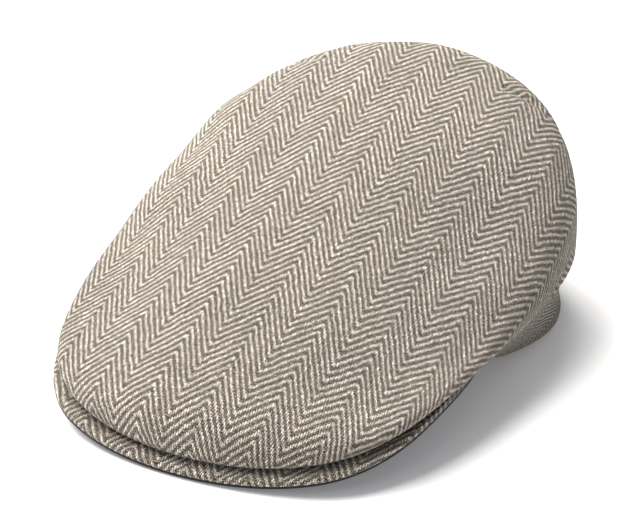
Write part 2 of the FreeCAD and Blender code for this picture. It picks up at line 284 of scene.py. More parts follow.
def worn_band(angle, share, rolled=0.0):
    """The sweatband's outer face with the slow waves of wear, rolled inward by a depth."""
    swell = 0.35 * np.sin(angle / 9.0) * np.sin(math.pi * share)
    return inset(sweatband_face, rolled - swell)(angle, share)


def lining_wall(angle, share):
    """The lining between the sweatband's top and the rim of the crown lining."""
    turn = np.radians(angle)
    hung = inset(crown_above, LINING_DEPTH + LINING_DROP)
    ring = hung(LINING_HALF_WIDTH * np.sin(turn), LINING_MIDDLE - LINING_HALF_LENGTH * np.cos(turn))
    foot = sweatband_face(angle, 1.0 + 0 * angle) + (0, 0, 0.6)
    return foot + (ring - foot) * share[..., None]


# ---------------------------------------------------------------- how the cloth lies on the crown

def weave_tables():
    """Lengths over the crown: across it from the middle line, and along each line of warp."""
    alphas = np.radians(np.linspace(-89.5, 89.5, 180))
    betas = np.radians(np.linspace(-100, 100, 201))
    al, be = np.meshgrid(alphas, betas, indexing="ij")
    points = crown_point(vec(np.cos(al) * np.sin(be), np.sin(al), np.cos(al) * np.cos(be)))
    steps = np.linalg.norm(np.diff(points, axis=1), axis=-1)
    across = np.concatenate([np.zeros((len(alphas), 1)), np.cumsum(steps, axis=1)], 1)
    across -= across[:, len(betas) // 2][:, None]
    warps = np.linspace(-160, 160, 161)
    lines = np.array([[np.interp(warps, across[i], points[i, :, axis]) for axis in range(3)]
                      for i in range(len(alphas))]).transpose(0, 2, 1)
    steps = np.linalg.norm(np.diff(lines, axis=0), axis=-1)
    along = np.concatenate([np.zeros((1, len(warps))), np.cumsum(steps, axis=0)], 0)
    middle = len(alphas) // 2
    along -= (along[middle] + along[middle - 1]) / 2
    # the weft lies level over the crown's middle, and a little askew, as it was cut
    along += (lines[middle, :, 1] + lines[middle - 1, :, 1]) / 2 + WEFT_SKEW * warps
    return alphas, betas, across, warps, along


def between(table, rows, columns, r, c):
    """Reads a table between its rows and columns."""
    i = np.clip((r - rows[0]) / (rows[1] - rows[0]), 0, len(rows) - 1.001)
    j = np.clip((c - columns[0]) / (columns[1] - columns[0]), 0, len(columns) - 1.001)
    i0, j0 = i.astype(int), j.astype(int)
    fi, fj = i - i0, j - j0
    top = table[i0, j0] * (1 - fj) + table[i0, j0 + 1] * fj
    low = table[i0 + 1, j0] * (1 - fj) + table[i0 + 1, j0 + 1] * fj
    return top * (1 - fi) + low * fi


WEAVE = weave_tables()


def crown_weave(angle, fall):
    """The weave's map on the crown, in mm; past the shoulder it runs straight on round the roll."""
    alphas, betas, across, warps, along = WEAVE

    def laid(fallen):
        s = direction(angle, fallen)
        al, be = np.arcsin(np.clip(s[..., 1], -1, 1)), np.arctan2(s[..., 0], s[..., 2])
        u = between(across, alphas, betas, al, be)
        return np.stack([u, between(along, alphas, warps, al, u)], -1)

    near, last = 79.0, 85.0
    start = laid(np.minimum(fall, last))
    slope = (laid(last + 0 * fall) - laid(near + 0 * fall))
    slope /= length_of(crown_at(angle, last) - crown_at(angle, near))
    past = length_of(crown_at(angle, fall) - crown_at(angle, last)) * (fall > last)[..., None]
    return start + slope * past - (COLUMN_START, 0)


def softness(p):
    """How far the worn crown stands off its pattern, outward, in mm."""
    x, y = p[..., 0], p[..., 1]
    # two slow ripples of the cloth, a fifth of a millimetre high
    height = 0.22 * np.sin(x / 13 + 1.1) * np.sin(y / 19 + 0.4) + 0.16 * np.sin(x / 7.3 + y / 9.1)
    for px, py, long, wide, turn, tall in SWELLINGS:
        t = math.radians(turn)
        along = (x - px) * math.cos(t) + (y - py) * math.sin(t)
        over = (y - py) * math.cos(t) - (x - px) * math.sin(t)
        height = height + tall * np.exp(-(along / long) ** 2 * 2 - (over / wide) ** 2 * 2)
    for (ax, ay), (bx, by), half, deep in DARTS:
        reach = math.hypot(bx - ax, by - ay)
        ux, uy = (bx - ax) / reach, (by - ay) / reach
        along = ((x - ax) * ux + (y - ay) * uy) / reach
        off = np.abs((y - ay) * ux - (x - ax) * uy)
        within = smooth(along, -0.3, 0.5) * (1 - smooth(along, 0.98, 1.06))
        height = height - deep * np.exp(-(off / half) ** 2) * within
    return height


# ---------------------------------------------------------------- making meshes

def link(name, mesh, *finishes):
    piece = bpy.data.objects.new(name, mesh)
    bpy.context.scene.collection.objects.link(piece)
    for finish in finishes:
        mesh.materials.append(finish)
    return piece


def mesh_of(bm, name):
    mesh = bpy.data.meshes.new(name)
    bm.to_mesh(mesh)
    bm.free()
    return mesh


def set_mesh(piece):
    """Applies the piece's modifiers to its mesh."""
    bpy.context.view_layer.update()
    seen = piece.evaluated_get(bpy.context.evaluated_depsgraph_get())
    made = bpy.data.meshes.new_from_object(seen)
    made.name = piece.name
    piece.modifiers.clear()
    piece.data = made
    made.shade_smooth()
    made.set_sharp_from_angle(angle=math.radians(50))
    return piece


def cloth(name, finish, cells, place, weave, thickness, ring=False, thin=None):
    """A closed sheet: a grid laid on place(a, b), with its weave's map, given its thickness inward."""
    bm = bmesh.new()
    bmesh.ops.create_grid(bm, x_segments=cells[0], y_segments=cells[1], size=1.0)
    flat = np.array([v.co[:] for v in bm.verts])
    a, b = (flat[:, 0] + 1) / 2, (flat[:, 1] + 1) / 2
    for vert, point in zip(bm.verts, place(a, b) * MM):
        vert.co = point
    layer = bm.loops.layers.uv.new("weave")
    uv = weave(a, b)
    for face in bm.faces:
        for loop in face.loops:
            loop[layer].uv = uv[loop.vert.index]
    thins = thin(a, b) if thin else None
    if ring:
        bmesh.ops.remove_doubles(bm, verts=bm.verts, dist=1e-6)
    piece = link(name, mesh_of(bm, name), finish)
    wall = piece.modifiers.new("thickness", "SOLIDIFY")
    wall.thickness, wall.offset = thickness * MM, -1.0
    wall.use_quality_normals = True
    if thin:
        group = piece.vertex_groups.new(name="fill")
        for index, weight in enumerate(thins):
            group.add([index], float(weight), "REPLACE")
        wall.vertex_group = "fill"
    return set_mesh(piece)


def label_map(a, b):
    """A label's map, from -1 to 1 along it and up it."""
    return np.stack([2 * a - 1, 2 * b - 1], -1)


def along_line(points, spacing):
    """Places at an even spacing along a line of points, and the line's direction there."""
    steps = np.linalg.norm(np.diff(points, axis=0), axis=1)
    run = np.concatenate([[0], np.cumsum(steps)])
    count = max(int(run[-1] / spacing), 2)
    at = (np.arange(count) + 0.5) * run[-1] / count
    place = np.stack([np.interp(at, run, points[:, k]) for k in range(3)], -1)
    ahead = np.stack([np.interp(at + 0.3, run, points[:, k]) for k in range(3)], -1)
    return place, (ahead - place) / np.maximum(length_of(ahead - place), 1e-9)


def stitch(bm, place, along, out, half_long, half_thick, sides, rings):
    """One stitch: a short swelling of thread along one way, standing out from the cloth."""
    axes = Matrix((along, out.cross(along), out)).transposed().to_4x4()
    size = Matrix.Diagonal((half_long * MM, half_thick * MM, half_thick * MM, 1))
    upright = Matrix.Rotation(math.radians(90), 4, "Y")
    bmesh.ops.create_uvsphere(bm, u_segments=sides, v_segments=rings, radius=1.0,
                              matrix=Matrix.Translation(Vector(place) * MM) @ axes @ size @ upright)


def stitches(name, finish, points, outs, spacing=3.4, long=2.3, thick=0.5):
    """A row of stitches lying on a line of points."""
    bm = bmesh.new()
    place, ahead = along_line(points, spacing)
    out, _ = along_line(points + outs, spacing)
    for p, d, o in zip(place, ahead, out):
        x = Vector(d).normalized()
        z = Vector(o - p)
        z = (z - x * z.dot(x)).normalized()
        stitch(bm, p, x, z, long / 2, thick / 2, 6, 5)
    mesh = mesh_of(bm, name)
    mesh.shade_smooth()
    return link(name, mesh, finish)


# ---------------------------------------------------------------- finishes

def linear(hex_code):
    """An sRGB hex colour as the linear colour that shaders take."""
    parts = [int(hex_code[i:i + 2], 16) / 255 for i in (1, 3, 5)]
    return tuple(p / 12.92 if p <= 0.04045 else ((p + 0.055) / 1.055) ** 2.4 for p in parts) + (1.0,)


def add(tree, kind, *feeds, named=None, out=0, **settings):
    """Adds a node with its settings, feeds its sockets in order or by name, and gives its output."""
    node = tree.nodes.new("ShaderNode" + kind)
    for key, value in settings.items():
        setattr(node, key, value)
    pairs = list(zip(node.inputs, feeds)) + [(node.inputs[key], feed) for key, feed in (named or {}).items()]
    for socket, feed in pairs:
        if isinstance(feed, bpy.types.NodeSocket):
            tree.links.new(feed, socket)
        elif feed is not None:
            socket.default_value = feed
    return node.outputs[out]


# A Mix node's two colours come after its factor and five more sockets, which stay as they are.
SKIPPED, AS_COLOURS = (None,) * 5, dict(out=2, data_type="RGBA")


def new_finish(name):
    finish = bpy.data.materials.new(name)
    finish.use_nodes = True
    tree = finish.node_tree
    tree.nodes.clear()
    return finish, tree


def close(tree, shader):
    output = tree.nodes.new("ShaderNodeOutputMaterial")
    tree.links.new(shader, output.inputs["Surface"])


def herringbone_wool(cloth_set):
    """Woollen herringbone tweed, a 2/2 twill that turns every sixteen yarns. Cream warp floats lie
    over a brown weft like ropes, with fuzz that greys the surface and painted shade between the yarns."""
    finish, t = new_finish("herringbone_wool")
    yarn, pick = cloth_set.yarn_spacing / MM, cloth_set.pick_spacing / MM
    count = cloth_set.column_yarns
    place = add(t, "UVMap", uv_map="weave")
    # hand-fed yarn wanders by a third of its width over a few yarns' length
    laid = place
    for scale, detail, unevenness, far in ((0.16, 2.0, 0.55, 1.6), (1.1, 1.0, 0.5, 1.0)):
        drift = add(t, "TexNoise", place, None, scale, detail, unevenness, out=1)
        drift = add(t, "VectorMath", drift, (0.5, 0.5, 0.5), operation="SUBTRACT")
        laid = add(t, "VectorMath", drift, (far, far, 0), laid, operation="MULTIPLY_ADD")
    scaled = add(t, "VectorMath", laid, (1 / yarn, 1 / pick, 0), operation="MULTIPLY")
    s = add(t, "SeparateXYZ", scaled)
    v = s.node.outputs[1]
    i = add(t, "Math", s, operation="FLOOR")
    j = add(t, "Math", v, operation="FLOOR")
    fi = add(t, "Math", s, i, operation="SUBTRACT")
    fj = add(t, "Math", v, j, operation="SUBTRACT")
    column = add(t, "Math", i, float(count), operation="DIVIDE")
    column = add(t, "Math", column, operation="FLOOR")
    turned = add(t, "Math", column, 2.0, operation="FLOORED_MODULO")
    slant = add(t, "Math", turned, -2.0, 1.0, operation="MULTIPLY_ADD")
    step = add(t, "Math", slant, i, j, operation="MULTIPLY_ADD")
    step = add(t, "Math", step, turned, operation="SUBTRACT")
    step = add(t, "Math", step, 4.0, operation="FLOORED_MODULO")
    warp_up = add(t, "Math", step, 1.5, operation="LESS_THAN")
    # the rounded section of a warp yarn, and its rise and fall along a float of two picks
    warp_side = add(t, "Math", fi, math.pi, operation="MULTIPLY")
    warp_side = add(t, "Math", warp_side, operation="SINE")
    warp_run = add(t, "Math", step, fj, operation="ADD")
    warp_run = add(t, "Math", warp_run, math.pi / 2, operation="MULTIPLY")
    warp_run = add(t, "Math", warp_run, operation="SINE")
    weft_side = add(t, "Math", fj, math.pi, operation="MULTIPLY")
    weft_side = add(t, "Math", weft_side, operation="SINE")
    back_step = add(t, "Math", step, -2.0, 5.0, operation="MULTIPLY_ADD")
    weft_run = add(t, "Math", turned, back_step, step, operation="MULTIPLY_ADD")
    weft_run = add(t, "Math", weft_run, -2.0, operation="ADD")
    weft_run = add(t, "Math", weft_run, fi, operation="ADD")
    weft_run = add(t, "Math", weft_run, math.pi / 2, operation="MULTIPLY")
    weft_run = add(t, "Math", weft_run, operation="SINE")
    side = add(t, "Mix", warp_up, None, weft_side, warp_side, data_type="FLOAT")
    run = add(t, "Mix", warp_up, None, weft_run, warp_run, data_type="FLOAT")
    run = add(t, "Math", run, 0.55, 0.45, operation="MULTIPLY_ADD")
    height = add(t, "Math", side, run, operation="MULTIPLY")
    # each yarn is its own shade, and each is heathered along its length
    own = add(t, "Mix", warp_up, None, j, i, data_type="FLOAT")
    own = add(t, "Math", own, warp_up, operation="ADD")
    shade = add(t, "TexWhiteNoise", None, own, noise_dimensions="1D")
    heather = add(t, "TexNoise", place, None, 0.9, 3.0, 0.65)
    fleck = add(t, "TexNoise", place, None, 2.1, 2.0, 0.6)
    # the two plies' twist, drawn at 0.45 mm, twice as coarse as it is, so that it shows
    twist = add(t, "Math", s, v, operation="ADD")
    twist = add(t, "Math", twist, 2 * math.pi * yarn / 0.45, operation="MULTIPLY")
    twist = add(t, "Math", twist, operation="SINE")
    cream, brown = tuple(cloth_set.cream), tuple(cloth_set.brown)
    flecked = add(t, "MapRange", fleck, 0.50, 0.66, 0.0, 0.75)
    dark = add(t, "Mix", flecked, *SKIPPED, brown, cream, **AS_COLOURS)
    greyed = add(t, "MapRange", fleck, 0.50, 0.36, 0.0, 0.60)
    light = add(t, "Mix", greyed, *SKIPPED, cream, brown, **AS_COLOURS)
    colour = add(t, "Mix", warp_up, *SKIPPED, dark, light, **AS_COLOURS)
    # woollen yarn is uneven, so each crossing of two yarns shows lighter or darker
    crossing = add(t, "CombineXYZ", i, j)
    crossing = add(t, "TexWhiteNoise", crossing, noise_dimensions="3D")
    # wear and handling leave slow patches a little lighter or darker
    where = add(t, "TexCoord", out=3)
    where = add(t, "Mapping", where, (0, -1.5 * MM, -50 * MM))
    patch = add(t, "TexNoise", where, None, 22.0, 2.0, 0.5)
    # painted shade: the yarns' height darkens the hollows between them and lightens their tops; then each of
    # these, from its low to its high, darkens or lightens the cloth
    value = add(t, "MapRange", height, 0.05, 0.85, 0.22, 1.30)
    for cause, low, high, darkest, lightest in (
            (crossing, 0.0, 1.0, 0.70, 1.26), (heather, 0.38, 0.62, 0.70, 1.30), (shade, 0.0, 1.0, 0.84, 1.14),
            (twist, -1.0, 1.0, 0.95, 1.05), (patch, 0.3, 0.7, 0.95, 1.05)):
        part = add(t, "MapRange", cause, low, high, darkest, lightest)
        value = add(t, "Math", value, part, operation="MULTIPLY")
    colour = add(t, "VectorMath", colour, None, None, value, operation="SCALE")
    fuzz = add(t, "TexNoise", place, None, 4.5, 3.0, 0.7)
    height = add(t, "Math", fuzz, 0.35, height, operation="MULTIPLY_ADD")
    height = add(t, "Math", twist, 0.06, height, operation="MULTIPLY_ADD")
    normal = add(t, "Bump", named={"Strength": 1.0, "Distance": cloth_set.relief, "Height": height})
    rough = add(t, "MapRange", heather, 0.3, 0.7, 0.86, 0.97)
    close(t, add(t, "BsdfPrincipled", named={
        "Base Color": colour, "Roughness": rough, "Specular IOR Level": 0.25, "Sheen Weight": 0.22,
        "Sheen Roughness": 0.45, "Sheen Tint": linear("#F4EFE6"), "Normal": normal}))
    return finish


def twill(name, light, dark, spacing, sheen, rough, relief):
    """A woven cloth with steep 2/1 twill lines: the cotton of the peak's underside and the canvas."""
    finish, t = new_finish(name)
    place = add(t, "UVMap", uv_map="weave")
    wander = add(t, "TexNoise", place, None, 0.3, 2.0, 0.5, out=1)
    laid = add(t, "VectorMath", wander, (0.5, 0.5, 0), place, operation="MULTIPLY_ADD")
    scaled = add(t, "VectorMath", laid, (1 / spacing, 1 / spacing, 0), operation="MULTIPLY")
    s = add(t, "SeparateXYZ", scaled)
    v = s.node.outputs[1]
    line = add(t, "Math", s, v, operation="ADD")
    line = add(t, "Math", line, 2 * math.pi / 3, operation="MULTIPLY")
    line = add(t, "Math", line, operation="SINE")
    thread = add(t, "Math", s, math.pi, operation="MULTIPLY")
    thread = add(t, "Math", thread, operation="SINE")
    thread = add(t, "Math", thread, operation="ABSOLUTE")
    height = add(t, "Math", line, 0.3, thread, operation="MULTIPLY_ADD")
    speck = add(t, "TexNoise", place, None, 1.4, 3.0, 0.6)
    mixed = add(t, "Math", height, speck, operation="MULTIPLY")
    mixed = add(t, "MapRange", mixed, 0.1, 0.7, 0.0, 1.0)
    colour = add(t, "Mix", mixed, *SKIPPED, linear(dark), linear(light), **AS_COLOURS)
    normal = add(t, "Bump", named={"Strength": 0.6, "Distance": relief * MM, "Height": height})
    roughness = add(t, "MapRange", speck, 0.3, 0.7, rough - 0.06, rough + 0.06)
    close(t, add(t, "BsdfPrincipled", named={
        "Base Color": colour, "Roughness": roughness, "Specular IOR Level": 0.25, "Sheen Weight": sheen,
        "Sheen Roughness": 0.4, "Normal": normal}))
    return finish


def satin_lining(inside_set):
    """Acetate satin, warp-faced: long smooth floats that catch the light along the thread."""
    finish, t = new_finish("satin_lining")
    place = add(t, "UVMap", uv_map="weave")
    # threads are 0.12 mm; their streaks are drawn at about 0.5 mm so that they show
    streak = add(t, "VectorMath", place, (2.0, 0.12, 0), operation="MULTIPLY")
    streak = add(t, "TexNoise", streak, None, 1.0, 3.0, 0.6)
    slow = add(t, "TexNoise", place, None, 0.05, 2.0, 0.5)
    mixed = add(t, "Math", streak, 0.6, slow, operation="MULTIPLY_ADD")
    mixed = add(t, "MapRange", mixed, 0.5, 1.1, 0.0, 1.0)
    base = tuple(inside_set.lining)
    deep = tuple(c * 0.62 for c in base[:3]) + (1.0,)
    colour = add(t, "Mix", mixed, *SKIPPED, deep, base, **AS_COLOURS)
    normal = add(t, "Bump", named={"Strength": 0.3, "Distance": 0.15 * MM, "Height": streak})
    rough = add(t, "MapRange", streak, 0.3, 0.7, 0.30, 0.42)
    close(t, add(t, "BsdfPrincipled", named={
        "Base Color": colour, "Roughness": rough, "Specular IOR Level": 0.5, "Sheen Weight": 0.3,
        "Sheen Roughness": 0.3, "Normal": normal}))
    return finish


def sweatband_leather(inside_set):
    """Full-grain sheepskin, dyed and lightly waxed: pebbled grain, darker in its creases."""
    finish, t = new_finish("sweatband_leather")
    where = add(t, "TexCoord", out=3)
    where = add(t, "Mapping", where, (0, -37 * MM, -20 * MM))
    grain = add(t, "TexVoronoi", where, None, 1 / (1.3 * MM), out=0)
    fine = add(t, "TexNoise", where, None, 1 / (0.7 * MM), 3.0, 0.6)
    tone = add(t, "TexNoise", where, None, 1 / (18 * MM), 3.0, 0.5)
    height = add(t, "Math", fine, 0.4, grain, operation="MULTIPLY_ADD")
    mixed = add(t, "Math", grain, 0.6, tone, operation="MULTIPLY_ADD")
    mixed = add(t, "MapRange", mixed, 0.3, 1.1, 0.0, 1.0)
    base = tuple(inside_set.leather)
    deep = tuple(c * 0.5 for c in base[:3]) + (1.0,)
    colour = add(t, "Mix", mixed, *SKIPPED, base, deep, **AS_COLOURS)
    normal = add(t, "Bump", named={"Strength": 0.5, "Distance": 0.12 * MM, "Height": height},
                 invert=True)
    rough = add(t, "MapRange", tone, 0.3, 0.7, 0.42, 0.58)
    close(t, add(t, "BsdfPrincipled", named={
        "Base Color": colour, "Roughness": rough, "Specular IOR Level": 0.45, "Normal": normal}))
    return finish


def moulded(name, light, dark, grit, rough, relief, specular=0.4):
    """A moulded or foamed sheet with an even speckle: the peak's board and the forehead foam."""
    finish, t = new_finish(name)
    where = add(t, "TexCoord", out=3)
    where = add(t, "Mapping", where, (0, 60 * MM, -12 * MM))
    cells = add(t, "TexVoronoi", where, None, 1 / (grit * MM))
    cloud = add(t, "TexNoise", where, None, 1 / (9 * MM), 3.0, 0.55)
    mixed = add(t, "Math", cells, 0.7, cloud, operation="MULTIPLY_ADD")
    mixed = add(t, "MapRange", mixed, 0.4, 1.1, 0.0, 1.0)
    colour = add(t, "Mix", mixed, *SKIPPED, linear(light), linear(dark), **AS_COLOURS)
    normal = add(t, "Bump", named={"Strength": 0.5, "Distance": relief * MM, "Height": cells})
    roughness = add(t, "MapRange", cloud, 0.3, 0.7, rough - 0.05, rough + 0.05)
    close(t, add(t, "BsdfPrincipled", named={
        "Base Color": colour, "Roughness": roughness, "Specular IOR Level": specular, "Normal": normal}))
    return finish


def woven_label():
    """Damask label tape, with a plain field inside a two-thread border and nothing written on it."""
    finish, t = new_finish("woven_label")
    place = add(t, "UVMap", uv_map="weave")
    s = add(t, "SeparateXYZ", place)
    v = s.node.outputs[1]
    across = add(t, "Math", s, operation="ABSOLUTE")
    along = add(t, "Math", v, operation="ABSOLUTE")
    # the map runs from -1 to 1 over the label, and the border lies near its edge
    edge = add(t, "Math", across, along, operation="MAXIMUM")
    border = add(t, "Math", edge, 0.82, 0.05, operation="COMPARE")
    threads = add(t, "VectorMath", place, (60, 60, 0), operation="MULTIPLY")
    checks = add(t, "TexChecker", threads, (1, 1, 1, 1), (0, 0, 0, 1), 1.0, out=1)
    speck = add(t, "TexNoise", place, None, 14.0, 2.0, 0.5)
    field = add(t, "Mix", speck, *SKIPPED, linear("#B9AF9C"), linear("#E6DFD0"), **AS_COLOURS)
    colour = add(t, "Mix", border, *SKIPPED, field, linear("#3A2C22"), **AS_COLOURS)
    normal = add(t, "Bump", named={"Strength": 0.4, "Distance": 0.1 * MM, "Height": checks})
    close(t, add(t, "BsdfPrincipled", named={
        "Base Color": colour, "Roughness": 0.6, "Sheen Weight": 0.2, "Normal": normal}))
    return finish


def spun_thread(name, light, dark):
    """Three-ply sewing thread, with its twist drawn at 0.5 mm."""
    finish, t = new_finish(name)
    where = add(t, "TexCoord", out=3)
    where = add(t, "Mapping", where, (0, -30 * MM, -20 * MM), (0.6, 0.5, 0.7))
    ply = add(t, "TexWave", where, 1 / (3.1 * MM), 2.0, 2.0, 1.0, out=1)
    colour = add(t, "Mix", ply, *SKIPPED, linear(dark), linear(light), **AS_COLOURS)
    normal = add(t, "Bump", named={"Strength": 0.5, "Distance": 0.1 * MM, "Height": ply})
    close(t, add(t, "BsdfPrincipled", named={
        "Base Color": colour, "Roughness": 0.75, "Sheen Weight": 0.2, "Normal": normal}))
    return finish


def snap_brass():
    """Stamped brass, tumbled and darkened: bright where it is rubbed, brown in its hollows."""
    finish, t = new_finish("snap_brass")
    where = add(t, "TexCoord", out=3)
    where = add(t, "Mapping", where, (0, 118 * MM, -9 * MM))
    stain = add(t, "TexNoise", where, None, 1 / (1.6 * MM), 4.0, 0.6)
    scratch = add(t, "TexNoise", where, None, 1 / (0.25 * MM), 3.0, 0.7)
    mixed = add(t, "MapRange", stain, 0.35, 0.65, 0.0, 1.0)
    colour = add(t, "Mix", mixed, *SKIPPED, linear("#C9A35C"), linear("#6E5230"), **AS_COLOURS)
    rough = add(t, "MapRange", stain, 0.35, 0.65, 0.24, 0.5)
    normal = add(t, "Bump", named={"Strength": 0.15, "Distance": 0.05 * MM, "Height": scratch})
    close(t, add(t, "BsdfPrincipled", named={
        "Base Color": colour, "Metallic": 1.0, "Roughness": rough, "Normal": normal}))
    return finish


def studio_paper():
    """Matt white background paper, with a faint glow for the light that a wide bright sweep throws
    back into a shadow."""
    finish, t = new_finish("studio_paper")
    where = add(t, "TexCoord", out=3)
    fibre = add(t, "TexNoise", where, None, 60.0, 3.0, 0.6)
    colour = add(t, "Mix", fibre, *SKIPPED, linear("#F4F5F7"), linear("#FAFAFA"), **AS_COLOURS)
    close(t, add(t, "BsdfPrincipled", named={
        "Base Color": colour, "Roughness": 0.9, "Specular IOR Level": 0.1,
        "Emission Color": (1, 1, 1, 1), "Emission Strength": 0.15}))
    return finish


FINISHES = {}


def finish_of(name):
    """The finish of that name, made the first time it is asked for."""
    scene = bpy.context.scene
    makers = {
        "herringbone_wool": lambda: herringbone_wool(scene.cap_cloth),
        "under_peak_cotton": lambda: twill("under_peak_cotton", "#3B3C44", "#15161B", 0.55, 0.15, 0.8, 0.2),
        "canvas": lambda: twill("canvas", "#CFC3A8", "#8B7E66", 0.8, 0.1, 0.85, 0.2),
        "satin_lining": lambda: satin_lining(scene.cap_inside),
        "sweatband_leather": lambda: sweatband_leather(scene.cap_inside),
        "moulded_board": lambda: moulded("moulded_board", "#D9D4C8", "#A39C8C", 1.6, 0.55, 0.08),
        "foam": lambda: moulded("foam", "#D8CFA8", "#8F8460", 0.9, 0.9, 0.35, 0.2),
        "woven_label": woven_label,
        "brown_thread": lambda: spun_thread("brown_thread", "#8A6A48", "#4A3522"),
        "dark_thread": lambda: spun_thread("dark_thread", "#4A4B55", "#1D1E24"),
        "snap_brass": snap_brass,
        "studio_paper": studio_paper,
    }
    if name not in FINISHES:
        FINISHES[name] = makers[name]()
    return FINISHES[name]


# ---------------------------------------------------------------- what a user may change

class CapCloth(bpy.types.PropertyGroup):
    yarn_spacing: bpy.props.FloatProperty(
        name="Yarn spacing", description="From one warp yarn of the wool to the next",
        default=0.8333 * MM, precision=5, unit="LENGTH")
    pick_spacing: bpy.props.FloatProperty(
        name="Pick spacing", description="From one weft yarn of the wool to the next",
        default=1.23 * MM, precision=5, unit="LENGTH")
    column_yarns: bpy.props.IntProperty(
        name="Yarns in a column", description="Yarns before the herringbone turns", default=16, min=4)
    relief: bpy.props.FloatProperty(
        name="Relief", description="How far the floats stand over the weave's ground",
        default=0.75 * MM, precision=5, unit="LENGTH")
    cream: bpy.props.FloatVectorProperty(
        name="Warp", description="Colour of the pale warp yarn", subtype="COLOR", size=4,
        default=linear("#E4DCCF"), min=0, max=1)
    brown: bpy.props.FloatVectorProperty(
        name="Weft", description="Colour of the dark weft yarn", subtype="COLOR", size=4,
        default=linear("#503F2C"), min=0, max=1)


class CapInside(bpy.types.PropertyGroup):
    leather: bpy.props.FloatVectorProperty(
        name="Sweatband", description="Colour of the sweatband's leather", subtype="COLOR", size=4,
        default=linear("#7A5233"), min=0, max=1)
    lining: bpy.props.FloatVectorProperty(
        name="Lining", description="Colour of the satin lining", subtype="COLOR", size=4,
        default=linear("#6E5A45"), min=0, max=1)


class CapStudio(bpy.types.PropertyGroup):
    key_power: bpy.props.FloatProperty(
        name="Key light", description="Power of the large soft light behind the cap's right side",
        default=88.0, min=0, unit="POWER")
    sky: bpy.props.FloatProperty(
        name="Surrounding light", description="Brightness of the white room around the cap",
        default=0.27, min=0)
    lens: bpy.props.FloatProperty(
        name="Lens", description="Focal length of the camera's lens", default=129.5, min=20,
        subtype="DISTANCE_CAMERA")


# ---------------------------------------------------------------- the pieces

class CAP_OT_stage(bpy.types.Operator):
    """Lays white paper on the table and sets up the soft lights and the camera"""
    bl_idname = "cap.stage"
    bl_label = "Studio"

    def execute(self, context):
        scene, studio = context.scene, context.scene.cap_studio
        scene.view_settings.view_transform = "Standard"
        bm = bmesh.new()
        bmesh.ops.create_grid(bm, x_segments=2, y_segments=2, size=4.0,
                              matrix=Matrix.Translation((0, 0, -0.2 * MM)))
        link("paper", mesh_of(bm, "paper"), finish_of("studio_paper"))

        world = bpy.data.worlds.new("white_room")
        scene.world = world
        world.use_nodes = True
        world.node_tree.nodes["Background"].inputs["Color"].default_value = linear("#F6F8FF")
        world.node_tree.nodes["Background"].inputs["Strength"].default_value = studio.sky

        middle = Vector(LOOK_AT) * MM
        for name, share, size, azimuth, height, far in LIGHTS:
            lamp = bpy.data.lights.new(name, "AREA")
            lamp.energy, lamp.size = studio.key_power * share, size
            lamp.color = linear("#FFFCF8")[:3]
            lit = link(name, lamp)
            away = Vector(direction(azimuth, 90 - height))
            lit.location = middle + away * far
            lit.rotation_euler = away.to_track_quat("Z", "Y").to_euler()

        azimuth, roll = math.radians(CAMERA_AZIMUTH), math.radians(CAMERA_ROLL)
        away = Vector(direction(CAMERA_AZIMUTH, 90 - CAMERA_HEIGHT))
        right = Vector((math.cos(azimuth), math.sin(azimuth), 0))
        upward = away.cross(right)
        level = right * math.cos(roll) + upward * math.sin(roll)
        upright = upward * math.cos(roll) - right * math.sin(roll)
        lens = bpy.data.cameras.new("camera")
        lens.lens, lens.sensor_width, lens.clip_start = studio.lens, 36.0, 0.05
        lens.shift_x, lens.shift_y = CAMERA_SHIFT
        camera = link("camera", lens)
        turned = Matrix((level, upright, away)).transposed().to_4x4()
        camera.matrix_world = Matrix.Translation(middle + away * CAMERA_DISTANCE) @ turned
        scene.camera = camera
        return {"FINISHED"}


def crown_cloth(name, finish, cells, reach, depth, thickness):
    """A layer of the crown, at a depth under its worn outer face, out to reach(angle)."""
    def place(a, b):
        angle, out = polar(a, b)
        toward = direction(angle, out * reach(angle))
        still = 1 - smooth(out * reach(angle), WEAR_FROM, WEAR_TO)
        return crown_under(toward, depth - softness(crown_point(toward)) * still)

    def weave(a, b):
        angle, out = polar(a, b)
        return crown_weave(angle, out * reach(angle))

    piece = cloth(name, finish_of(finish), cells, place, weave, thickness)
    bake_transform(piece)
    return piece


class CAP_OT_crown(bpy.types.Operator):
    """Makes the one-piece wool crown, its canvas and the facing turned in over the peak"""
    bl_idname = "cap.crown"
    bl_label = "Crown"

    def execute(self, context):
        crown = crown_cloth("crown", "herringbone_wool", (156, 180), lip, 0.0, CROWN_WOOL)
        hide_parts("crown_front", "crown_back")
        canvas = crown_cloth("crown_canvas", "canvas", (60, 72), lambda angle: CANVAS_FALL + 0 * angle,
                             CANVAS_DEPTH, CANVAS)
        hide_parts("crown_canvas_front", "crown_canvas_back")

        def place(a, b):
            angle = FACING_ANGLE * (2 * a - 1)
            share = FACING_FROM + (FACING_TO - FACING_FROM) * b
            lift = FACING_LIFT + 0.3 + smooth(b, 0, 0.35)
            return peak_face(angle, share) + lift[..., None] * (0, 0, 1)

        facing = cloth("front_facing_wool", finish_of("herringbone_wool"), (70, 14), place,
                       lambda a, b: place(a, b)[:, :2] - (COLUMN_START, 0), 1.0)
        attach(facing, "crown_flap")
        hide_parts("front_facing")
        return {"FINISHED"}


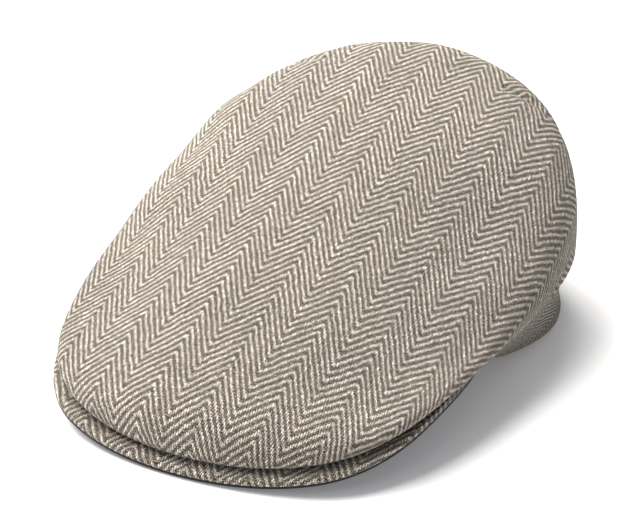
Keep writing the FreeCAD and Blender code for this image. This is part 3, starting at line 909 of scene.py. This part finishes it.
class CAP_OT_side_panels(bpy.types.Operator):
    """Makes the two side panels that meet in the back seam, with their folded hem and backing"""
    bl_idname = "cap.side_panels"
    bl_label = "Side panels"

    def execute(self, context):
        fold, seam = 1.4, 0.08             # the hem's radius, and the half width of the back seam in degrees
        turned_in, folded = 0.07, 0.25     # where the turned-in edge and the fold end, as shares of the grid
        angles = np.linspace(PANEL_CROWN_ANGLE, 360 - PANEL_CROWN_ANGLE, 441)
        middle = panel_face(angles, 0.4 + 0 * angles)
        run = np.concatenate([[0], np.cumsum(np.linalg.norm(np.diff(middle, axis=0), axis=1))])

        def profile(angle, b):
            """The height over the hem and the depth, from the turned-in edge round the fold and up."""
            tall = length_of(panel_face(angle, 1.0) - panel_face(angle, 0.0))[:, 0]
            bend = np.interp(b, [turned_in, folded], [0, math.pi])
            height = fold - fold * np.sin(bend)
            height += np.interp(b, [0, turned_in], [1, 0]) * np.minimum(1.8, 0.07 * tall)
            height += np.interp(b, [folded, 1], [0, 1]) * (tall - fold)
            gone = height + (1 - smooth(b, 0.16, 0.2)) * -3.0
            return height / tall, fold + fold * np.cos(bend), gone

        for side, start, end in (("left", PANEL_CROWN_ANGLE, 180 - seam),
                                 ("right", 180 + seam, 360 - PANEL_CROWN_ANGLE)):
            def place(a, b):
                angle = start + (end - start) * a
                share, depth, _ = profile(angle, b)
                # the back seam draws the wool in; a degree is about 2 mm there
                seam_dip = 0.8 * np.exp(-((angle - 180) * 2.0 / 1.7) ** 2)
                wave = 0.25 * np.sin(angle / 5.1 + 3 * share) + 0.2 * np.sin(angle / 2.3)
                wave *= 4 * share * (1 - share)
                return inset(panel_face, depth + seam_dip - wave)(angle, share)

            def weave(a, b):
                angle = start + (end - start) * a
                _, _, gone = profile(angle, b)
                return np.stack([gone - PANEL_COLUMN, np.interp(angle, angles, run)], -1)

            panel = cloth(f"side_panel_wool_{side}", finish_of("herringbone_wool"), (150, 50), place, weave,
                          PANEL_WOOL)

            def backing(a, b):
                # the canvas stops 3 degrees short of the temple and 0.3 short of the back seam
                angle = start + (3 if side == "left" else 0.3) + (end - start - 3.3) * a
                return inset(panel_face, SIDE_CANVAS_DEPTH)(angle, 0.13 + 0.72 * b)

            canvas = cloth(f"side_canvas_{side}_cloth", finish_of("canvas"), (80, 8), backing,
                           lambda a, b: np.stack([20 * b, 200 * a], -1), CANVAS)
            for piece, node, finish in ((panel, f"side_panel_{side}", "herringbone_wool"),
                                        (canvas, f"side_canvas_{side}", "canvas")):
                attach(piece, "cap")
                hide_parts(node)

        tape = cloth("back_seam_tape_satin", finish_of("satin_lining"), (10, 16),
                     lambda a, b: inset(panel_face, TAPE_DEPTH)(TAPE_FROM + TAPE_ANGLE * a, 0.15 + 0.64 * b),
                     lambda a, b: np.stack([16 * a, 18 * b], -1), LINING)
        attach(tape, "cap")
        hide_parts("back_seam_tape")
        return {"FINISHED"}


class CAP_OT_peak(bpy.types.Operator):
    """Covers the peak's board in wool that wraps its rim, with dark cotton underneath"""
    bl_idname = "cap.peak"
    bl_label = "Peak"

    def execute(self, context):
        bend = 1.5                   # the wool turns round the rim on this radius
        wrap = math.radians(65)      # and this far past level, under it
        turned = 0.16                # over this share of the grid

        def parts(a):
            angle = PEAK_END_ANGLE * (2 * a - 1)
            outer, root = peak_face(angle, 0.0), peak_face(angle, 1.0)
            long = length_of(outer - root)
            return angle, (outer - root) / long, long[:, 0]

        def laid(a, b):
            """The face where the wool lies flat, the way out of the peak and the turn round its rim."""
            angle, out, long = parts(a)
            first = bend / long
            share = first + np.clip((b - turned) / (1 - turned), 0, 1) * (0.999 - first)
            turn = np.interp(b, [0, turned], [-wrap, math.pi / 2])[:, None]
            return peak_face(angle, share), out, turn

        def place(a, b):
            face, out, turn = laid(a, b)
            edge = out * bend * np.cos(turn) - (bend - bend * np.sin(turn)) * (0, 0, 1)
            return face + edge * (b < turned)[:, None]

        def weave(a, b):
            face, out, turn = laid(a, b)
            return face[:, :2] + out[:, :2] * bend * (math.pi / 2 - turn) - (COLUMN_START, 0)

        top = cloth("peak_top_wool", finish_of("herringbone_wool"), (150, 60), place, weave, PEAK_WOOL)
        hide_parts("peak_top_cover")

        def below(a, b):
            angle, out, long = parts(1 - a)
            share = 0.3 / long + b * (0.995 - 0.3 / long)
            lift = 0.35 * np.exp(-b * long / 0.5)
            return peak_face(angle, share) - (PEAK_THICKNESS - lift)[:, None] * (0, 0, 1)

        under = cloth("peak_under_cotton", finish_of("under_peak_cotton"), (110, 50), below,
                      lambda a, b: below(a, b)[:, :2], UNDER_CLOTH)
        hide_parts("peak_under_cover")
        row = np.linspace(-72, 72, 200)
        outer, root = peak_face(row, 0.0), peak_face(row, 1.0)
        line = peak_face(row, 6.0 / length_of(outer - root)[:, 0]) - (0, 0, PEAK_THICKNESS)
        sewn = stitches("peak_stitches", finish_of("dark_thread"), line, np.zeros((200, 3)) - (0, 0, 1.0))
        for piece, finish in ((top, "herringbone_wool"), (under, "under_peak_cotton"),
                              (sewn, "under_peak_cotton")):
            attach(piece, "cap")
        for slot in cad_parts["peak_board"].material_slots:
            slot.link, slot.material = "OBJECT", finish_of("moulded_board")
        return {"FINISHED"}


class CAP_OT_sweatband(bpy.types.Operator):
    """Makes the leather sweatband with its two rows of stitches, the forehead pad and the size tab"""
    bl_idname = "cap.sweatband"
    bl_label = "Sweatband"

    def execute(self, context):
        def place(a, b):
            return worn_band(-180 + 360 * a, b, 0.35 * smooth(b, 0.94, 1.0))

        band = cloth("sweatband_leather_band", finish_of("sweatband_leather"), (200, 18), place,
                     lambda a, b: np.stack([560 * a, 24 * b], -1), LEATHER, ring=True)
        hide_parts("sweatband")
        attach(band, "cap")
        row = np.linspace(-178.5, 178.5, 720)
        for name, share in BAND_ROWS:
            on_leather = inset(worn_band, LEATHER + 0.05)(row, share + 0 * row)
            inner = inset(worn_band, LEATHER + 1.05)(row, share + 0 * row)
            sewn = stitches(name, finish_of("brown_thread"), on_leather, inner - on_leather)
            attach(sewn, "cap")

        behind = inset(sweatband_face, -PAD_STANDS_OFF)
        pad = cloth("forehead_foam", finish_of("foam"), (60, 16),
                    lambda a, b: behind(PAD_HALF_ANGLE * (2 * a - 1), 0.2 + 0.65 * b),
                    lambda a, b: np.stack([a, b], -1), PAD,
                    thin=lambda a, b: np.clip((1 - (2 * a - 1) ** 4) * (1 - (2 * b - 1) ** 4), 0.12, 1))
        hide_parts("forehead_pad")
        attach(pad, "cap")

        within = inset(sweatband_face, LEATHER + TAB_STANDS_OFF)
        tab = cloth("size_tab", finish_of("woven_label"), (16, 16),
                    lambda a, b: within(TAB_FROM + TAB_ANGLE * a, 0.22 + 0.5 * b),
                    label_map, LABEL_THICKNESS)
        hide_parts("size_label")
        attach(tab, "cap")
        return {"FINISHED"}


class CAP_OT_lining(bpy.types.Operator):
    """Makes the satin lining: its domed top, its gathered sides and a plain woven label"""
    bl_idname = "cap.lining"
    bl_label = "Lining"

    def execute(self, context):
        def toward(a, b):
            """The directions over the lining's oval top."""
            angle, out = polar(a, b)
            sx = LINING_HALF_WIDTH * out * np.sin(np.radians(angle))
            sy = LINING_MIDDLE - LINING_HALF_LENGTH * out * np.cos(np.radians(angle))
            return vec(sx, sy, np.sqrt(1 - sx * sx - sy * sy))

        def face(a, b):
            return crown_point(toward(a, b))

        def puckered(a, b):
            angle, out = polar(a, b)
            turn = np.radians(angle)
            gather = 0.45 * smooth(out, 0.62, 0.97) * np.sin(turn * 46 + 1.3 * np.sin(turn * 7))
            return crown_under(toward(a, b), LINING_DEPTH + gather * (1 - smooth(out, 0.97, 1.0)))

        top = cloth("lining_top_satin", finish_of("satin_lining"), (110, 110), puckered,
                    lambda a, b: face(a, b)[:, :2], LINING)
        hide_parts("lining_top")
        under = inset(face, LINING_DEPTH + LINING + LABEL_STANDS_OFF)
        label = cloth("lining_label_tape", finish_of("woven_label"), (30, 20),
                      lambda a, b: under(0.375 + 0.25 * a, 0.53 + 0.175 * b),
                      label_map, LABEL_THICKNESS)
        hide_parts("lining_label")
        for piece, finish in ((top, "satin_lining"), (label, "woven_label")):
            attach(piece, "cap")
        for side, start in (("left", 0.2), ("right", 180.2)):
            def hung(a, b):
                angle, share = start + 179.6 * a, 0.965 * b
                fold = 0.6 * np.sin(np.radians(angle) * 58) + 0.5 * np.sin(np.radians(angle) * 23 + 1)
                return inset(lining_wall, 0.2 - fold * np.sin(math.pi * b))(angle, share)

            wall = cloth(f"lining_side_satin_{side}", finish_of("satin_lining"), (220, 14), hung,
                         lambda a, b: np.stack([260 * a, 30 * b], -1), LINING)
            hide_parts(f"lining_side_{side}")
            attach(wall, "cap")
        return {"FINISHED"}


class CAP_OT_press_stud(bpy.types.Operator):
    """Finishes the brass press stud between crown and peak and sews both its halves on"""
    bl_idname = "cap.press_stud"
    bl_label = "Press stud"

    def execute(self, context):
        tilt = math.radians(10.2)    # the stud stands square to the sloping peak
        up, across = Vector((0, -math.sin(tilt), math.cos(tilt))), Vector((1, 0, 0))
        along = up.cross(across)
        for node, body, sewn_at in (("snap_stud", "cap", -0.35), ("snap_socket", "crown_flap", -1.1)):
            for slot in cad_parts[node].material_slots:
                slot.link, slot.material = "OBJECT", finish_of("snap_brass")
            low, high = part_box(node)
            face = (low + high) / 2 / MM + up * sewn_at
            bm = bmesh.new()
            for quarter in range(4):
                turn = math.radians(45 + 90 * quarter)
                out = across * math.cos(turn) + along * math.sin(turn)
                stitch(bm, face + out * 4.5, out, up, 1.15, 0.3, 8, 6)
            mesh = mesh_of(bm, f"{node}_threads")
            mesh.shade_smooth()
            threads = link(mesh.name, mesh, finish_of("dark_thread"))
            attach(threads, body)
        return {"FINISHED"}


class CAP_PT_panel(bpy.types.Panel):
    """The cap's sizes, colours and pieces"""
    bl_label = "Flat Cap"
    bl_idname = "CAP_PT_panel"
    bl_space_type = "VIEW_3D"
    bl_region_type = "UI"
    bl_category = "Flat Cap"

    def draw(self, context):
        for group in (context.scene.cap_cloth, context.scene.cap_inside, context.scene.cap_studio):
            box = self.layout.box()
            for name in group.bl_rna.properties.keys():
                if name not in ("rna_type", "name"):
                    box.prop(group, name)
        for piece in PIECES:
            self.layout.operator(piece.bl_idname)


PIECES = (CAP_OT_stage, CAP_OT_crown, CAP_OT_side_panels, CAP_OT_peak, CAP_OT_sweatband, CAP_OT_lining,
          CAP_OT_press_stud)
CLASSES = (CapCloth, CapInside, CapStudio) + PIECES + (CAP_PT_panel,)


def register():
    for cls in CLASSES:
        bpy.utils.register_class(cls)
    bpy.types.Scene.cap_cloth = bpy.props.PointerProperty(type=CapCloth)
    bpy.types.Scene.cap_inside = bpy.props.PointerProperty(type=CapInside)
    bpy.types.Scene.cap_studio = bpy.props.PointerProperty(type=CapStudio)


def unregister():
    del bpy.types.Scene.cap_cloth, bpy.types.Scene.cap_inside, bpy.types.Scene.cap_studio
    for cls in reversed(CLASSES):
        bpy.utils.unregister_class(cls)


def main():
    register()
    for piece in PIECES:
        getattr(bpy.ops.cap, piece.bl_idname.split(".")[1])()


if __name__ == "__main__":
    main()
